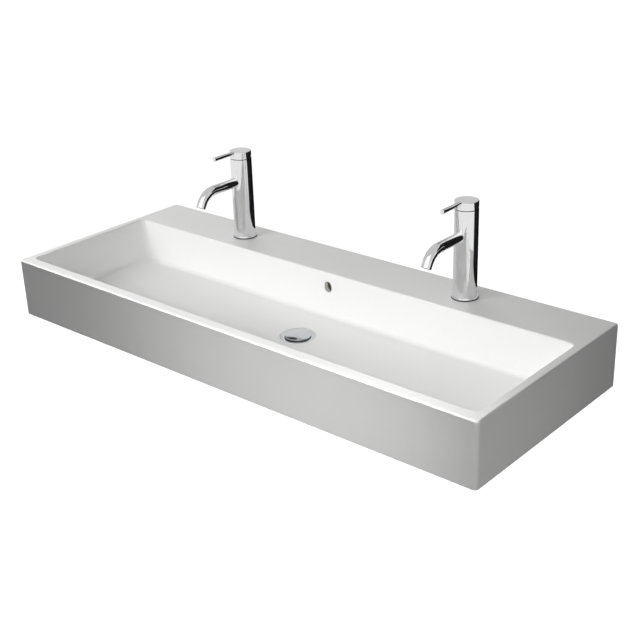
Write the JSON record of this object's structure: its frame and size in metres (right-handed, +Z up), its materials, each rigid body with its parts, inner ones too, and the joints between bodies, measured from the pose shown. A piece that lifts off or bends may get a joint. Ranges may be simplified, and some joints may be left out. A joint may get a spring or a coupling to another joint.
{
  "type": "vanity basin",
  "caption": "Wide rectangular ceramic vanity basin with a flat tap deck, single-lever mixer taps with tilting handles, an overflow and a push-open drain.",
  "frame": {"origin": "on the back face, midway between the two wall-bolt holes", "axes": "+X to the user's right along the basin, +Y to the wall, +Z up"},
  "size_m": [1.2, 0.47, 0.389],
  "materials": {
    "ceramic": "white glaze",
    "chrome": "polished chrome plate",
    "brass": "raw machined brass",
    "steel": "zinc plated",
    "rubber": "black rubber",
    "white_plastic": "moulded",
    "grey_plastic": "moulded",
    "disc_ceramic": "lapped"
  },
  "bodies": {
    "root": {"basin": "ceramic", "drain_body": "chrome", "drain_top_gasket": "rubber", "drain_lower_gasket": "rubber", "drain_washer": "white_plastic", "drain_nut": "brass", "click_cartridge": "grey_plastic", "click_spring": "steel", "left_base_gasket": "rubber", "left_base_ring": "chrome", "left_column": "chrome", "left_foot": "brass", "left_feed_tubes": "brass", "left_valve_core": "brass", "left_spout": "chrome", "left_aerator": "grey_plastic", "left_cartridge_seals": "rubber", "left_cartridge_body": "white_plastic", "left_fixed_disc": "disc_ceramic", "left_cartridge_nut": "brass", "left_dome": "chrome", "left_stud": "steel", "left_clamp_gasket": "rubber", "left_clamp_plate": "steel", "left_stud_nut": "brass", "right_base_gasket": "rubber", "right_base_ring": "chrome", "right_column": "chrome", "right_foot": "brass", "right_feed_tubes": "brass", "right_valve_core": "brass", "right_spout": "chrome", "right_aerator": "grey_plastic", "right_cartridge_seals": "rubber", "right_cartridge_body": "white_plastic", "right_fixed_disc": "disc_ceramic", "right_cartridge_nut": "brass", "right_dome": "chrome", "right_stud": "steel", "right_clamp_gasket": "rubber", "right_clamp_plate": "steel", "right_stud_nut": "brass"},
    "plug": {"plug_cap": "chrome", "plug_seal": "rubber", "plug_stem": "brass"},
    "left_swivel": {"left_rotor": "grey_plastic", "left_stem_pin": "steel"},
    "left_disc": {"left_moving_disc": "disc_ceramic"},
    "left_handle": {"left_stem": "brass", "left_cap": "chrome", "left_lever": "chrome", "left_cap_screw": "steel"},
    "right_swivel": {"right_rotor": "grey_plastic", "right_stem_pin": "steel"},
    "right_disc": {"right_moving_disc": "disc_ceramic"},
    "right_handle": {"right_stem": "brass", "right_cap": "chrome", "right_lever": "chrome", "right_cap_screw": "steel"}
  },
  "joints": [
    {"name": "plug_lift", "type": "slide", "parent": "root", "child": "plug", "axis": [0, 0, 1], "range_m": [0, 0.008], "deforming": ["click_spring"]},
    {"name": "left_lever_swivel", "type": "hinge", "parent": "root", "child": "left_swivel", "pos_m": [-0.3, -0.065, 0.237], "axis": [0, 0, 1], "range_deg": [-50, 50]},
    {"name": "left_lever_lift", "type": "hinge", "parent": "left_swivel", "child": "left_handle", "pos_m": [-0.3, -0.065, 0.237], "axis": [-1, 0, 0], "range_deg": [0, 20]},
    {"name": "left_disc_slide", "type": "slide", "parent": "left_swivel", "child": "left_disc", "axis": [0, -1, 0], "range_m": [0, 0.0049]},
    {"name": "right_lever_swivel", "type": "hinge", "parent": "root", "child": "right_swivel", "pos_m": [0.3, -0.065, 0.237], "axis": [0, 0, 1], "range_deg": [-50, 50]},
    {"name": "right_lever_lift", "type": "hinge", "parent": "right_swivel", "child": "right_handle", "pos_m": [0.3, -0.065, 0.237], "axis": [-1, 0, 0], "range_deg": [0, 20]},
    {"name": "right_disc_slide", "type": "slide", "parent": "right_swivel", "child": "right_disc", "axis": [0, -1, 0], "range_m": [0, 0.0049]}
  ],
  "couplings": [
    {"joint": "left_disc_slide", "follows": "left_lever_lift", "m_per_rad": 0.014},
    {"joint": "right_disc_slide", "follows": "right_lever_lift", "m_per_rad": 0.014}
  ]
}
